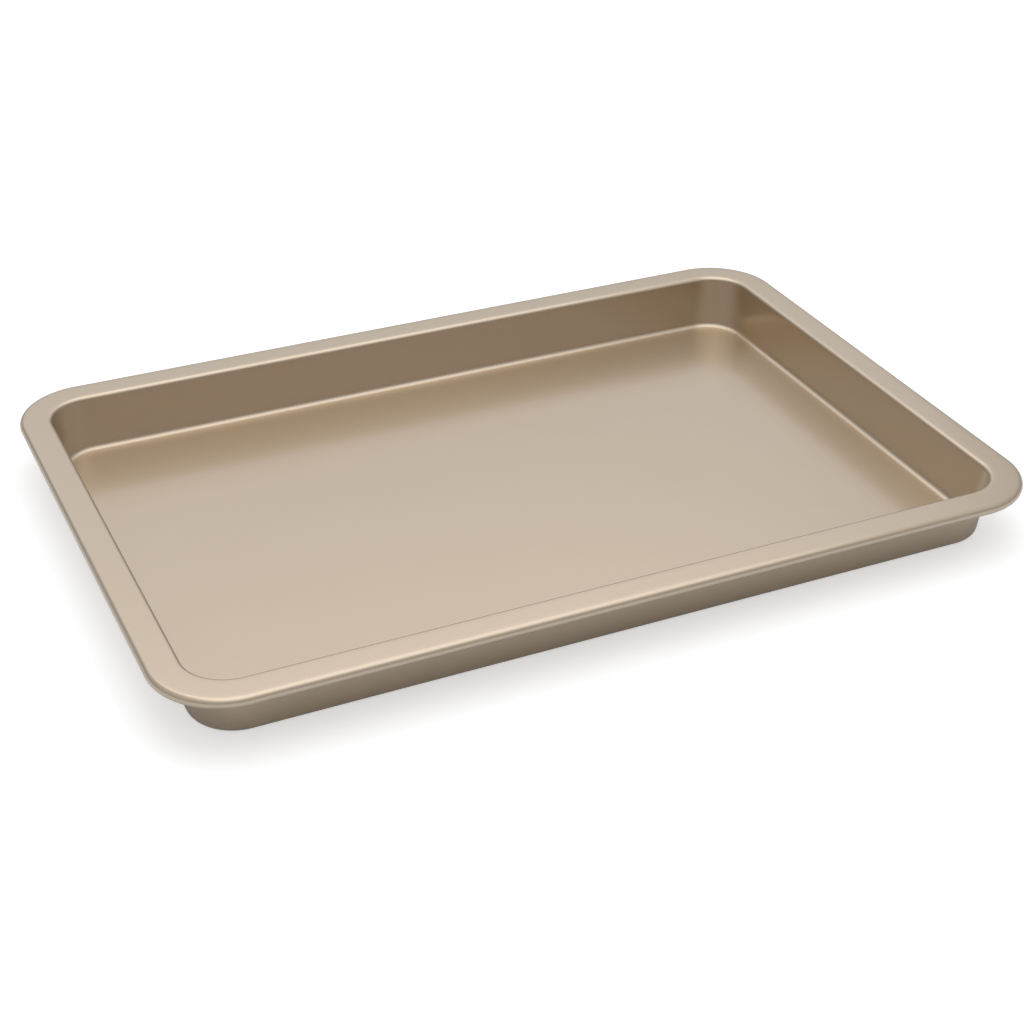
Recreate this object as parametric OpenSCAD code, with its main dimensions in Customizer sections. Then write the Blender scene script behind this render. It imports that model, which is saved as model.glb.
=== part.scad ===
// Jelly roll pan: a wide shallow baking tray pressed from one steel sheet.
// The sheet runs from the flat base through leaning walls to a flat flange, and its edge is
// rolled round a steel wire that stiffens the rim.
// Millimetres, +Z up. The origin is the centre of the base's underside, where the pan rests.

/* [Pan] */
// Overall length, over the rolled rim
pan_l = 440; // [240:1:600]
// Overall width, over the rolled rim
pan_w = 302; // [160:1:450]
// Height from the underside of the base to the top of the flange
pan_h = 31; // [20:0.5:60]
// Corner radius of the flat base, seen from above
base_corner_r = 16; // [2:0.5:25]

/* [Sheet] */
// Thickness of the steel sheet
sheet_t = 0.8; // [0.4:0.05:1.2]
// Lean of the walls away from upright, in degrees
wall_draft = 4; // [0.5:0.5:15]
// Inside radius of the bend from the base into the wall
base_bend_r = 3; // [1:0.5:8]
// Radius of the rounded edge from the wall onto the flange, on the upper side
lip_bend_r = 2.2; // [1.5:0.1:6]

/* [Rim] */
// Width of the flange, from the line of the wall to the outer edge
flange_w = 16; // [14:0.5:30]
// Diameter of the wire inside the rolled edge
wire_d = 3.5; // [2:0.1:5]
// Space between the wire and the rolled sheet, all round
wire_clearance = 0.05; // [0.05:0.05:0.3]
// Space between the two ends of the wire, in the middle of the back rim
wire_end_gap = 2; // [0.5:0.5:10]
// Height of the gap between the roll's free edge and the underside of the flange
edge_gap = 0.6; // [0.3:0.1:1]

/* [Hidden] */
$fn = 96;

// The section is drawn with x outwards from the start of the base bend, and y upwards.
// The wall starts and ends square to itself, where it meets the two bends.
bend_rise = pan_h - lip_bend_r - (sheet_t + base_bend_r);
wall_len = (bend_rise + (base_bend_r + lip_bend_r) * sin(wall_draft)) / cos(wall_draft);
lip_bend_x = (base_bend_r + lip_bend_r) * cos(wall_draft) + wall_len * sin(wall_draft);

// The line of the wall's inner face, carried on upwards, meets the top of the flange here.
wall_line_rise = pan_h - sheet_t - base_bend_r + base_bend_r * sin(wall_draft);
wall_line_x = base_bend_r * cos(wall_draft) + wall_line_rise * tan(wall_draft);
rim_x = wall_line_x + flange_w;

// The roll's radii follow from the wire, and its free edge stops short of the flange.
bore_r = wire_d / 2 + wire_clearance;
roll_r = bore_r + sheet_t;
roll_end = 180 - asin((bore_r - edge_gap) / roll_r);
flange_flat = rim_x - roll_r - lip_bend_x;

// The corners of the base, walls, flange and rim all turn about one upright axis. Its place is
// rounded to a thousandth of a millimetre, so that the straight runs meet the corners exactly.
axis_x = round(1000 * (pan_l / 2 - rim_x - base_corner_r)) / 1000;
axis_y = round(1000 * (pan_w / 2 - rim_x - base_corner_r)) / 1000;
corners = [[1, 1, 0], [-1, 1, 90], [-1, -1, 180], [1, -1, 270]];

module ring(r_in, r_out) {
    difference() {
        circle(r_out);
        circle(r_in);
    }
}

// Places along the section, each at the centre of a bend, with x still outwards.
module at_base_bend() {
    translate([0, sheet_t + base_bend_r]) children();
}

module at_lip_bend() {
    at_base_bend()
        rotate(-wall_draft)
            translate([base_bend_r + lip_bend_r, wall_len])
                rotate(wall_draft) children();
}

module at_roll() {
    at_lip_bend() translate([flange_flat, lip_bend_r - roll_r]) children();
}

// Outer strip of the base, as wide as the base's corner radius.
module base_edge_section() {
    translate([-base_corner_r, 0]) square([base_corner_r, sheet_t]);
}

// Bend from the base into the wall: it starts straight down and ends square to the wall.
module base_bend_section() {
    reach = 2 * (base_bend_r + sheet_t);
    at_base_bend()
        difference() {
            ring(base_bend_r, base_bend_r + sheet_t);
            translate([-reach, -reach]) square([reach, 2 * reach]);
            rotate(-wall_draft) translate([-reach, 0]) square([2 * reach, reach]);
        }
}

module wall_section() {
    at_base_bend()
        rotate(-wall_draft) translate([base_bend_r, 0]) square([sheet_t, wall_len]);
}

// Bend from the wall onto the flange: it starts square to the wall and ends straight up.
module lip_bend_section() {
    reach = 2 * lip_bend_r;
    at_lip_bend()
        difference() {
            ring(lip_bend_r - sheet_t, lip_bend_r);
            translate([0, -reach]) square([reach, 2 * reach]);
            rotate(-wall_draft) translate([-reach, -reach]) square([2 * reach, reach]);
        }
}

module flange_section() {
    at_lip_bend() translate([0, lip_bend_r - sheet_t]) square([flange_flat, sheet_t]);
}

// The rolled edge: from the top of the roll outwards, down and round the wire.
module roll_section() {
    reach = 2 * roll_r;
    at_roll()
        difference() {
            ring(bore_r, roll_r);
            polygon([[0, 0], [0, reach], reach * [cos(roll_end), sin(roll_end)]]);
        }
}

// The wire, in the middle of the roll.
module wire_section() {
    at_roll() circle(wire_d / 2);
}

// Carries a section round the tray: four straight runs and four quarter turns.
module round_tray() {
    for (side = [0, 1]) {
        mirror([0, side, 0])
            translate([-axis_x, axis_y + base_corner_r, 0])
                rotate([90, 0, 90]) linear_extrude(2 * axis_x) children();
        mirror([side, 0, 0])
            translate([axis_x + base_corner_r, axis_y, 0])
                rotate([90, 0, 0]) linear_extrude(2 * axis_y) children();
    }
    for (c = corners)
        translate([c[0] * axis_x, c[1] * axis_y, 0])
            rotate([0, 0, c[2]])
                rotate_extrude(angle = 90) translate([base_corner_r, 0]) children();
}

// The pressed sheet: base, walls, flange and rolled edge in one piece.
module pan_body() {
    color([0.71, 0.63, 0.54]) {
        translate([-axis_x, -axis_y, 0]) cube([2 * axis_x, 2 * axis_y, sheet_t]);
        round_tray() base_edge_section();
        round_tray() base_bend_section();
        round_tray() wall_section();
        round_tray() lip_bend_section();
        round_tray() flange_section();
        round_tray() roll_section();
    }
}

// The stiffening wire, bent to the rim's outline, with its ends facing each other at the back.
module rim_wire() {
    color([0.62, 0.63, 0.65])
        difference() {
            round_tray() wire_section();
            translate([-wire_end_gap / 2, axis_y, 0])
                cube([wire_end_gap, pan_w, 2 * pan_h]);
        }
}

pan_body();
rim_wire();
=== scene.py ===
# %% [markdown]
# # Jelly roll pan
# A jelly roll pan is one sheet of coated steel, pressed into a shallow tray, with its edge
# rolled round a wire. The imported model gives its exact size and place. This lesson builds the
# sheet as a smooth mesh round that frame, gives it a satin champagne coating, and lights it
# like a plain product photograph. All lengths are metres, and +Z is up.

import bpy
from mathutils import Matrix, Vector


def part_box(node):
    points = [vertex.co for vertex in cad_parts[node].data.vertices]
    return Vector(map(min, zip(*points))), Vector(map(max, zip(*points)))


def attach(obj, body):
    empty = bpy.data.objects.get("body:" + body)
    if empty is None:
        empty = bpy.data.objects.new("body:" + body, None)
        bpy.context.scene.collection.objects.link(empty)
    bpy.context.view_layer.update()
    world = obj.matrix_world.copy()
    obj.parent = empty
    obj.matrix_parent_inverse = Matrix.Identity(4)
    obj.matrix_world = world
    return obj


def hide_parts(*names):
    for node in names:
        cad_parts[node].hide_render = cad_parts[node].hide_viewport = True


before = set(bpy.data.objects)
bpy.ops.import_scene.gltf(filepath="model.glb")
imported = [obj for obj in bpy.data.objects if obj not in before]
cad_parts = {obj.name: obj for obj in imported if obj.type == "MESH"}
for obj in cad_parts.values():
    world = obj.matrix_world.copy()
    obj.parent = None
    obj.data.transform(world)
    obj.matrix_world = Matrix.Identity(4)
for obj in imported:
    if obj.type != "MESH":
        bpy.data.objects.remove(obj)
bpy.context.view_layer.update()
print("nodes:", sorted(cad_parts))

# %% [markdown]
# ## Sizes
# The frame gives the overall box of the sheet and of the wire. The sizes that a box can't
# show, such as the bends, are repeated here as real sizes. Every corner of the tray turns
# about one upright axis, so the place of that axis follows from the box, the flange and the
# bends.

# %% Sizes of the sheet and its rim
import math
from math import cos, radians, sin, tan

import bmesh
import bpy
from mathutils import Matrix, Vector

MM = 0.001
SHEET = 0.8 * MM
BASE_CORNER = 16.0 * MM
BASE_BEND = 3.0 * MM
LIP_BEND = 2.2 * MM
FLANGE = 16.0 * MM
EDGE_GAP = 0.6 * MM
LEAN = radians(4)

low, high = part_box("pan_body")
wire_low, wire_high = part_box("rim_wire")
wire_radius = (wire_high.z - wire_low.z) / 2
roll_radius = high.z - (wire_high.z + wire_low.z) / 2
bore_radius = roll_radius - SHEET

wall_rise = high.z - LIP_BEND - SHEET - BASE_BEND
wall_length = (wall_rise + (BASE_BEND + LIP_BEND) * sin(LEAN)) / cos(LEAN)
lip_reach = (BASE_BEND + LIP_BEND) * cos(LEAN) + wall_length * sin(LEAN)
wall_line = BASE_BEND * cos(LEAN) + (high.z - SHEET - BASE_BEND * (1 - sin(LEAN))) * tan(LEAN)
rim_reach = wall_line + FLANGE
flange_flat = rim_reach - roll_radius - lip_reach
corner_axis = Vector((high.x - rim_reach - BASE_CORNER, high.y - rim_reach - BASE_CORNER, 0))
print(f"roll radius {roll_radius / MM:.2f} mm, wall {wall_length / MM:.2f} mm,",
      f"corner axis at {corner_axis.x / MM:.2f}, {corner_axis.y / MM:.2f} mm")

# %% [markdown]
# ## A pen for outlines
# Cut through the rim, the sheet is a long thin outline: along its upper face from the floor to
# the rolled edge, round the sheared end, and back along its lower face. It could be one face
# with a Solidify modifier, but the tight roll would then lose its even thickness. So a pen
# draws both faces: it goes straight or turns, and bmesh's extrude and spin leave points
# behind it. Each point also keeps a number, its extra corner radius, for the step after.

# %% The pen
class Pen:
    """Draws an outline that stands upright over the X axis, and heads outwards at first."""

    def __init__(self, mesh, start, ease=0.0):
        self.mesh = mesh
        self.layer = mesh.verts.layers.float.get("ease") or mesh.verts.layers.float.new("ease")
        self.tip = bmesh.ops.create_vert(mesh, co=start)["vert"][0]
        self.heading = 0.0
        self.ease = ease
        self.tip[self.layer] = ease

    def keep_ease(self, already, ease):
        self.mesh.verts.ensure_lookup_table()
        drawn = self.mesh.verts[already:]
        for step, vert in enumerate(drawn, start=1):
            vert[self.layer] = self.ease + (ease - self.ease) * step / len(drawn)
        self.ease = ease

    def straight(self, length, steps, ease):
        already = len(self.mesh.verts)
        stride = Vector((cos(self.heading), 0, sin(self.heading))) * (length / steps)
        for _ in range(steps):
            self.tip = bmesh.ops.extrude_vert_indiv(self.mesh, verts=[self.tip])["verts"][0]
            self.tip.co += stride
        self.keep_ease(already, ease)

    def turn(self, radius, angle, steps, ease):
        """Turns about a centre on the pen's left, or on its right where the angle is negative."""
        already = len(self.mesh.verts)
        left = Vector((-sin(self.heading), 0, cos(self.heading)))
        swept = bmesh.ops.spin(
            self.mesh,
            geom=[self.tip],
            cent=self.tip.co + left * math.copysign(radius, angle),
            axis=(0, -1, 0),
            dvec=(0, 0, 0),
            angle=angle,
            steps=steps,
            use_merge=False,
            use_duplicate=False,
        )
        self.tip = swept["geom_last"][0]
        self.heading += angle
        self.keep_ease(already, ease)

# %% [markdown]
# ## Rounder feet
# In the photograph the corners look rounder at the foot of the wall than at its top, and the
# rim's outer corner looks a little tighter than the flange alone would make it. A sheet corner
# that turns about one axis can't show that. The extra radius at each height is written down
# here, and is added to the corner after it has been turned.

# %% Extra corner radius, and how finely each stretch is divided
FOOT_EASE = 3.0 * MM
RIM_EASE = -1.2 * MM
FLOOR_STEPS = 5
BASE_BEND_STEPS = 12
WALL_STEPS = 8
LIP_BEND_STEPS = 12
FLANGE_STEPS = 4
ROLL_STEPS = 44
SHEARED_STEPS = 3
SHEARED_CORNER = 0.15 * MM

QUARTER = radians(90)
bend_angle = QUARTER - LEAN
roll_end_height = bore_radius - EDGE_GAP
roll_angle = math.tau - QUARTER + math.asin(roll_end_height / roll_radius)
print(f"the edge is rolled through {math.degrees(roll_angle):.0f} degrees")

# %% [markdown]
# ## The outline of the sheet
# The pen starts on the corner's axis, on top of the floor. It draws the upper face out to the
# free edge inside the roll, turns twice round the sheared end, and comes back underneath,
# where each bend's radius is one sheet larger or smaller.

# %% Draw the sheet's outline
def draw_sheet(mesh):
    pen = Pen(mesh, (corner_axis.x, corner_axis.y, SHEET))
    pen.straight(BASE_CORNER, FLOOR_STEPS, FOOT_EASE)
    pen.turn(BASE_BEND, bend_angle, BASE_BEND_STEPS, FOOT_EASE)
    pen.straight(wall_length, WALL_STEPS, 0)
    pen.turn(LIP_BEND, -bend_angle, LIP_BEND_STEPS, 0)
    pen.straight(flange_flat, FLANGE_STEPS, RIM_EASE)
    pen.turn(roll_radius, -roll_angle, ROLL_STEPS, RIM_EASE)

    pen.turn(SHEARED_CORNER, -QUARTER, SHEARED_STEPS, RIM_EASE)
    pen.straight(SHEET - 2 * SHEARED_CORNER, 1, RIM_EASE)
    pen.turn(SHEARED_CORNER, -QUARTER, SHEARED_STEPS, RIM_EASE)

    pen.turn(bore_radius, roll_angle, ROLL_STEPS, RIM_EASE)
    pen.straight(flange_flat, FLANGE_STEPS, 0)
    pen.turn(LIP_BEND - SHEET, bend_angle, LIP_BEND_STEPS, 0)
    pen.straight(wall_length, WALL_STEPS, FOOT_EASE)
    pen.turn(BASE_BEND + SHEET, -bend_angle, BASE_BEND_STEPS, FOOT_EASE)
    pen.straight(BASE_CORNER, FLOOR_STEPS, 0)
    return pen

sketch = bmesh.new()
end = draw_sheet(sketch).tip.co - corner_axis
print(f"{len(sketch.verts)} points; the outline ends {end.length / MM:.4f} mm from the axis")
sketch.free()

# %% [markdown]
# ## From an outline to a quarter of the pan
# A spin of 90 degrees about the upright axis turns the outline into a corner. The corner's two
# cut edges are then extruded to the pan's middle planes, in rows, so that the straight sides
# have even faces. A row is moved by scaling it towards the middle plane, which also takes the
# rounder foot back to a straight line.

# %% Turn the corner, then run the sides out to the middle planes
CORNER_STEPS = 32
LONG_STEPS = 14
SHORT_STEPS = 10
TINY = 0.01 * MM
X_AXIS = 0
Y_AXIS = 1

def only(kind, parts):
    return [part for part in parts if isinstance(part, kind)]

def turn_corner(mesh):
    """Spins the outline into a corner, rounds it, and gives the edges of its two cut ends."""
    first_end = mesh.edges[:]
    swept = bmesh.ops.spin(
        mesh,
        geom=mesh.verts[:] + mesh.edges[:],
        cent=corner_axis,
        axis=(0, 0, 1),
        dvec=(0, 0, 0),
        angle=QUARTER,
        steps=CORNER_STEPS,
        use_merge=False,
        use_duplicate=False,
    )
    ease = mesh.verts.layers.float["ease"]
    for vert in mesh.verts:
        outwards = (vert.co - corner_axis) * Vector((1, 1, 0))
        if outwards.length > TINY:
            vert.co += vert[ease] * (outwards.normalized() - Vector((1, 1, 0)))
    return first_end, only(bmesh.types.BMEdge, swept["geom_last"])

def run_to_middle(mesh, edges, axis, steps):
    """Extrudes edges in rows, the last of which lies on the pan's middle plane."""
    for rows_left in range(steps, 0, -1):
        grown = bmesh.ops.extrude_edge_only(mesh, edges=edges)["geom"]
        edges = only(bmesh.types.BMEdge, grown)
        shrink = Vector((1, 1, 1))
        shrink[axis] = (rows_left - 1) / rows_left
        bmesh.ops.scale(mesh, vec=shrink, verts=only(bmesh.types.BMVert, grown))

def run_sides(mesh):
    short_side, long_side = turn_corner(mesh)
    run_to_middle(mesh, short_side, Y_AXIS, SHORT_STEPS)
    run_to_middle(mesh, long_side, X_AXIS, LONG_STEPS)
    bmesh.ops.remove_doubles(mesh, verts=mesh.verts[:], dist=TINY)

# %% [markdown]
# ## From a quarter to the whole
# The pan is the same on both sides of its two middle planes, so two mirrors finish it. Doubles
# are merged first, and the normals are worked out once the shell is closed.

# %% Mirror, close and shade a mesh
def mirror_over(mesh, axis):
    bmesh.ops.mirror(
        mesh,
        geom=mesh.verts[:] + mesh.edges[:] + mesh.faces[:],
        matrix=Matrix.Identity(4),
        merge_dist=TINY,
        axis="XY"[axis],
    )
    bmesh.ops.remove_doubles(mesh, verts=mesh.verts[:], dist=TINY)

def shade_smooth(mesh):
    for face in mesh.faces:
        face.smooth = True

def make_object(mesh, name):
    data = bpy.data.meshes.new(name)
    mesh.to_mesh(data)
    mesh.free()
    made = bpy.data.objects.new(name, data)
    bpy.context.scene.collection.objects.link(made)
    return made

def finish_piece(mesh, name):
    bmesh.ops.recalc_face_normals(mesh, faces=mesh.faces[:])
    open_edges = sum(not edge.is_manifold for edge in mesh.edges)
    print(f"{name}: {len(mesh.faces)} faces, {open_edges} open edges,",
          f"{mesh.calc_volume(signed=True) / MM ** 3:.0f} cubic mm")
    return make_object(mesh, name)

# %% [markdown]
# ## The pressed sheet
# The floor is made as the sides are: the row of edges that stands on the corner's axis, above
# and below, is extruded to the middle plane. Its last points lie on the long side's own, and
# merging the doubles joins them. Rounding can leave a point of the underside a hair below the
# table, so such points are raised to it. The sheet is smooth everywhere, because even its
# sheared end is drawn with small round corners.

# %% Make the sheet
def make_sheet():
    mesh = bmesh.new()
    draw_sheet(mesh)
    run_sides(mesh)
    floor_row = [
        edge for edge in mesh.edges
        if all(abs(vert.co.x - corner_axis.x) < TINY and vert.co.y < corner_axis.y + TINY
               for vert in edge.verts)
    ]
    run_to_middle(mesh, floor_row, X_AXIS, LONG_STEPS)
    mirror_over(mesh, X_AXIS)
    mirror_over(mesh, Y_AXIS)
    for vert in mesh.verts:
        vert.co.z = max(vert.co.z, low.z)
    shade_smooth(mesh)
    return finish_piece(mesh, "pressed_sheet")

sheet = make_sheet()

# %% [markdown]
# ## The wire in the rim
# The roll hides a steel wire, whose two ends face each other in the middle of the back. It
# shows only through the narrow gap under the flange. A circle takes the same way round as the
# sheet, and the back end is pulled away from the middle plane before the last mirror, so that
# the two ends stay apart and can be closed.

# %% Make the wire
WIRE_STEPS = 20
WIRE_END_GAP = 2.0 * MM

def make_wire():
    mesh = bmesh.new()
    wire_x = high.x - corner_axis.x - roll_radius
    top = corner_axis + Vector((wire_x, 0, high.z - roll_radius + wire_radius))
    Pen(mesh, top, ease=RIM_EASE).turn(wire_radius, -math.tau, WIRE_STEPS, RIM_EASE)
    bmesh.ops.remove_doubles(mesh, verts=mesh.verts[:], dist=TINY)
    run_sides(mesh)
    mirror_over(mesh, Y_AXIS)
    back_end = [vert for vert in mesh.verts if vert.co.x < TINY and vert.co.y > 0]
    bmesh.ops.translate(mesh, vec=(WIRE_END_GAP / 2, 0, 0), verts=back_end)
    mirror_over(mesh, X_AXIS)
    shade_smooth(mesh)
    rims = [edge for edge in mesh.edges if edge.is_boundary]
    for edge in rims:
        edge.smooth = False
    bmesh.ops.holes_fill(mesh, edges=rims, sides=WIRE_STEPS)
    return finish_piece(mesh, "rim_wire_ring")

wire = make_wire()

# %% [markdown]
# ## Ride on the frame
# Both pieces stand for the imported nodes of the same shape, and ride on the one body.

# %% Tie the pieces to the frame
for piece, node, slot in ((sheet, "pan_body", "coated_steel"), (wire, "rim_wire", "zinc_wire")):
    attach(piece, "root")
    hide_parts(node)
    print(f"{piece.name} stands for {node}, in the slot {slot}")

# %% [markdown]
# ## Shader sums
# A finish is easier to read when its sums look like sums. This small class wraps a socket, and
# Python's operators add the Math nodes. Every other node comes from one method, which sets
# the node's own settings first and then its sockets. The Mix node has a set of sockets each for
# numbers, vectors and colours, and its colour sockets are found by their numbers.

# %% A readable way to make nodes
FIRST_COLOUR = 6
SECOND_COLOUR = 7
MIXED_COLOUR = 2

class Value:
    """A socket's value, on which + and * add a Math node."""

    def __init__(self, maker, socket):
        self.maker = maker
        self.socket = socket

    def sum(self, operation, first, second):
        return self.maker.node("ShaderNodeMath", {"operation": operation}, {0: first, 1: second})[0]

    def __add__(self, other):
        return self.sum("ADD", self, other)

    def __mul__(self, other):
        return self.sum("MULTIPLY", self, other)

    __radd__ = __add__
    __rmul__ = __mul__

class Outputs:
    """The outputs of a node, by name or by number."""

    def __init__(self, maker, node):
        self.maker = maker
        self.node = node

    def __getitem__(self, name):
        return Value(self.maker, self.node.outputs[name])

class Maker:
    """Makes the nodes of one material or world."""

    def __init__(self, tree):
        self.tree = tree
        self.tree.nodes.clear()

    def node(self, kind, settings, sockets):
        node = self.tree.nodes.new(kind)
        for name, setting in settings.items():
            if name == "stops":
                for place, colour in setting:
                    stop = node.color_ramp.elements.new(place)
                    stop.color = (*colour, 1)
                node.color_ramp.elements.remove(node.color_ramp.elements[0])
                node.color_ramp.elements.remove(node.color_ramp.elements[-1])
            else:
                setattr(node, name, setting)
        for name, value in sockets.items():
            if isinstance(value, Value):
                self.tree.links.new(value.socket, node.inputs[name])
            else:
                node.inputs[name].default_value = value
        return Outputs(self, node)

    def mix(self, factor, first, second):
        sockets = {"Factor": factor, FIRST_COLOUR: first, SECOND_COLOUR: second}
        return self.node("ShaderNodeMix", {"data_type": "RGBA"}, sockets)[MIXED_COLOUR]

def new_material(name):
    material = bpy.data.materials.new(name)
    material.use_nodes = True
    return material, Maker(material.node_tree)

# %% [markdown]
# ## The champagne coating
# The coating looks like a baked varnish full of fine metal flakes. Here the base is a fully
# metallic one with a warm tint, for the flakes, and a coat over it adds the varnish's thin
# white gloss. Two things keep it from looking like plastic: the flakes, a grain well
# under a millimetre that shifts the roughness and tilts the surface a little, and broad, very
# faint clouds where the film is a touch thicker and deeper in colour.

# %% Make the coating
CHAMPAGNE = (0.62, 0.498, 0.36, 1)
CHAMPAGNE_DEEP = (0.59, 0.468, 0.335, 1)
CLOUD = 60 * MM
CLOUD_DETAIL = 3
CLOUD_TINT = 0.7
CLOUD_ROUGHNESS = 0.04
FLAKE = 0.35 * MM
FLAKE_DETAIL = 2
FLAKE_TINT = 0.3
FLAKE_ROUGHNESS = 0.08
FLAKE_HEIGHT = 0.02 * MM
FLAKE_TILT = 0.1
SATIN = 0.30
VARNISH_ROUGHNESS = 0.18
VARNISH_IOR = 2.0

def noise(make, place, size, detail):
    """Cloudy noise from 0 to 1, whose blots are about as large as the size."""
    return make.node("ShaderNodeTexNoise", {"noise_dimensions": "3D"},
                     {"Vector": place, "Scale": 1 / size, "Detail": detail})["Fac"]

def make_coating():
    material, make = new_material("champagne_coating")
    place = make.node("ShaderNodeTexCoord", {}, {})["Object"]
    clouds = noise(make, place, CLOUD, CLOUD_DETAIL)
    flakes = noise(make, place, FLAKE, FLAKE_DETAIL)
    deeper = clouds * CLOUD_TINT + flakes * FLAKE_TINT
    grain = make.node("ShaderNodeBump", {}, {
        "Strength": FLAKE_TILT,
        "Distance": FLAKE_HEIGHT,
        "Height": flakes,
    })["Normal"]
    shader = make.node("ShaderNodeBsdfPrincipled", {}, {
        "Base Color": make.mix(deeper, CHAMPAGNE, CHAMPAGNE_DEEP),
        "Metallic": 1,
        "Roughness": SATIN + flakes * FLAKE_ROUGHNESS + clouds * CLOUD_ROUGHNESS,
        "Normal": grain,
        "Coat Weight": 1,
        "Coat Roughness": VARNISH_ROUGHNESS,
        "Coat IOR": VARNISH_IOR,
    })["BSDF"]
    make.node("ShaderNodeOutputMaterial", {}, {"Surface": shader})
    return material

# %% [markdown]
# ## The zinc on the wire
# Galvanised wire is dull, with pale and dark zinc crystals a couple of millimetres across. A
# Voronoi texture cuts the surface into cells, and each cell's own grey and roughness make it
# one crystal.

# %% Make the zinc
ZINC_DARK = (0.42, 0.43, 0.44, 1)
ZINC_PALE = (0.56, 0.57, 0.58, 1)
ZINC_CRYSTAL = 2 * MM
ZINC_ROUGHNESS = 0.42
CRYSTAL_ROUGHNESS = 0.16

def make_zinc():
    material, make = new_material("galvanised_wire")
    place = make.node("ShaderNodeTexCoord", {}, {})["Object"]
    crystals = make.node("ShaderNodeTexVoronoi", {"feature": "F1"},
                         {"Vector": place, "Scale": 1 / ZINC_CRYSTAL})["Color"]
    shade = make.node("ShaderNodeSeparateColor", {}, {"Color": crystals})["Red"]
    shader = make.node("ShaderNodeBsdfPrincipled", {}, {
        "Base Color": make.mix(shade, ZINC_DARK, ZINC_PALE),
        "Metallic": 1,
        "Roughness": ZINC_ROUGHNESS + shade * CRYSTAL_ROUGHNESS,
    })["BSDF"]
    make.node("ShaderNodeOutputMaterial", {}, {"Surface": shader})
    return material

# %% Give each piece its finish
for piece, finish in ((sheet, make_coating()), (wire, make_zinc())):
    piece.data.materials.append(finish)
    print(f"{piece.name}: {finish.name}, {len(finish.node_tree.nodes)} nodes")

# %% [markdown]
# ## The table
# The pan stands on a white table: a wide matt plane, a hair under the pan. The camera sees it
# with extra light, so that it reads as white and still keeps the pan's shadow. The pan's metal
# mirrors the table too. In the photograph the outer walls are much darker than a table as white
# as that would make them. So the metal sees little of the extra light near the pan, and all of
# it only a few metres away. Real light wouldn't do that: it is a trick to match the picture.

# %% Make the table
TABLE_SIZE = 8.0
TABLE_DROP = 0.1 * MM
TABLE_WHITE = (0.79, 0.80, 0.81, 1)
TABLE_LIFT = 0.5
ACROSS_PAN = (1 / high.x, 1 / high.y, 0)
NEAR_PAN = 0.6
FAR_FROM_PAN = 12.0

def seen(make):
    """1 for rays from the camera, and less near the pan for those that metal or glass sends."""
    place = make.node("ShaderNodeTexCoord", {}, {})["Object"]
    pans_away = make.node("ShaderNodeVectorMath", {"operation": "MULTIPLY"},
                          {0: place, 1: ACROSS_PAN})["Vector"]
    distance = make.node("ShaderNodeVectorMath", {"operation": "LENGTH"}, {0: pans_away})["Value"]
    away = make.node("ShaderNodeMapRange", {},
                     {"Value": distance, "From Min": NEAR_PAN, "From Max": FAR_FROM_PAN})["Result"]
    path = make.node("ShaderNodeLightPath", {}, {})
    return path["Is Camera Ray"] + away * (path["Is Glossy Ray"] + path["Is Transmission Ray"])

def make_table():
    mesh = bmesh.new()
    bmesh.ops.create_grid(mesh, x_segments=1, y_segments=1, size=TABLE_SIZE / 2)
    bmesh.ops.translate(mesh, vec=(0, 0, -TABLE_DROP), verts=mesh.verts[:])
    table = make_object(mesh, "table")
    print("the table faces", tuple(table.data.polygons[0].normal))
    material, make = new_material("white_table")
    matt = make.node("ShaderNodeBsdfDiffuse", {}, {"Color": TABLE_WHITE})["BSDF"]
    lift = make.node("ShaderNodeEmission", {}, {"Color": seen(make) * TABLE_LIFT})["Emission"]
    both = make.node("ShaderNodeAddShader", {}, {0: matt, 1: lift})["Shader"]
    make.node("ShaderNodeOutputMaterial", {}, {"Surface": both})
    table.data.materials.append(material)

make_table()

# %% [markdown]
# ## Light
# A shiny tray shows its surroundings, so what it mirrors matters more than how much light falls
# on it. The floor and the flange mirror the room about 30 degrees up behind the pan, and the
# inner walls mirror it lower down, by way of the floor. The room is dim at the horizon and
# paler above. One soft box hangs close over the pan, and gives the bright line along the rolled
# edge. A larger and fainter one stands high behind it, and brightens the floor. The real studio
# isn't known: these lights were chosen until the tray's shades came close to the photograph's.

# %% Make the room and the soft boxes
ROOM_GREY_BY_HEIGHT = ((0.08, 0.34), (0.37, 0.45), (0.57, 0.63), (0.80, 0.60), (1.0, 0.55))
OVERHEAD_PLACE = (0.0, -0.02, 0.5)
OVERHEAD_SIZE = (0.72, 0.8)
OVERHEAD_BRIGHTNESS = 0.53
BACK_PLACE = (0.3, 1.4, 1.4)
BACK_SIZE = (2.3, 1.6)
BACK_BRIGHTNESS = 0.30

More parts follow.
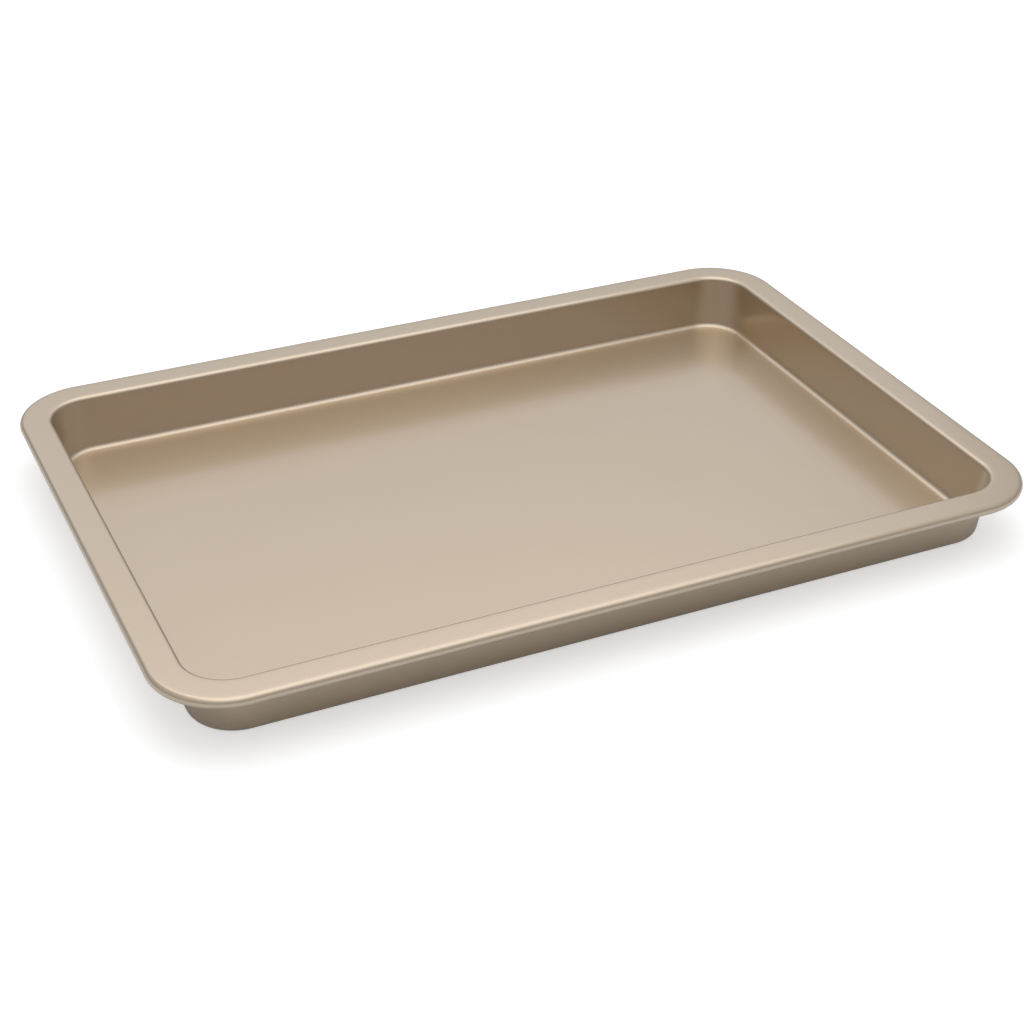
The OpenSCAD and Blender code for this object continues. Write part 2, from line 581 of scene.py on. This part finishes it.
def make_room():
    world = bpy.data.worlds.new("room")
    world.use_nodes = True
    bpy.context.scene.world = world
    make = Maker(world.node_tree)
    towards = make.node("ShaderNodeTexCoord", {}, {})["Object"]
    height = make.node("ShaderNodeSeparateXYZ", {}, {"Vector": towards})["Z"]
    stops = [(place, (grey, grey, grey)) for place, grey in ROOM_GREY_BY_HEIGHT]
    glow = make.node("ShaderNodeValToRGB", {"stops": stops}, {"Fac": height})["Color"]
    light = make.node("ShaderNodeBackground", {}, {"Color": glow})["Background"]
    make.node("ShaderNodeOutputWorld", {}, {"Surface": light})

def make_soft_box(name, place, size, brightness):
    """A soft box that faces the middle of the pan. A brightness of 1 is as bright as white."""
    lamp = bpy.data.lights.new(name, "AREA")
    lamp.shape = "RECTANGLE"
    lamp.size, lamp.size_y = size
    lamp.energy = brightness * math.pi * lamp.size * lamp.size_y
    box = bpy.data.objects.new(name, lamp)
    box.location = place
    box.rotation_euler = Vector(place).to_track_quat("Z", "Y").to_euler()
    bpy.context.scene.collection.objects.link(box)
    print(f"{name}: {lamp.energy:.2f} W")

make_room()
make_soft_box("overhead_box", OVERHEAD_PLACE, OVERHEAD_SIZE, OVERHEAD_BRIGHTNESS)
make_soft_box("back_box", BACK_PLACE, BACK_SIZE, BACK_BRIGHTNESS)

# %% [markdown]
# ## Camera
# The photograph looks down on the pan from the front left. The place, the lens and the small
# shift were fitted to the pan's own outline, and bring it within a few pixels of its place in
# the photograph. The lens and the sensor are in millimetres, as Blender's cameras have them.

# %% Place the camera
AZIMUTH = radians(-24.69)
ELEVATION = radians(30.69)
ROLL = radians(0.27)
DISTANCE = 1.0016
LENS = 69.0
SENSOR = 36.0
IMAGE = 1024
BASE_CENTRE_PIXEL = (509.06, 495.66)

camera = bpy.data.objects.new("camera", bpy.data.cameras.new("camera"))
camera.data.sensor_width = SENSOR
camera.data.lens = LENS
camera.data.shift_x = (IMAGE / 2 - BASE_CENTRE_PIXEL[0]) / IMAGE
camera.data.shift_y = (BASE_CENTRE_PIXEL[1] - IMAGE / 2) / IMAGE
facing = (Matrix.Rotation(AZIMUTH, 4, "Z")
          @ Matrix.Rotation(QUARTER - ELEVATION, 4, "X")
          @ Matrix.Rotation(ROLL, 4, "Z"))
camera.matrix_world = Matrix.Translation(facing @ Vector((0, 0, DISTANCE))) @ facing
bpy.context.scene.collection.objects.link(camera)
bpy.context.scene.camera = camera
bpy.context.scene.view_settings.view_transform = "Standard"
print("the camera stands at", tuple(round(part, 3) for part in camera.matrix_world.translation))
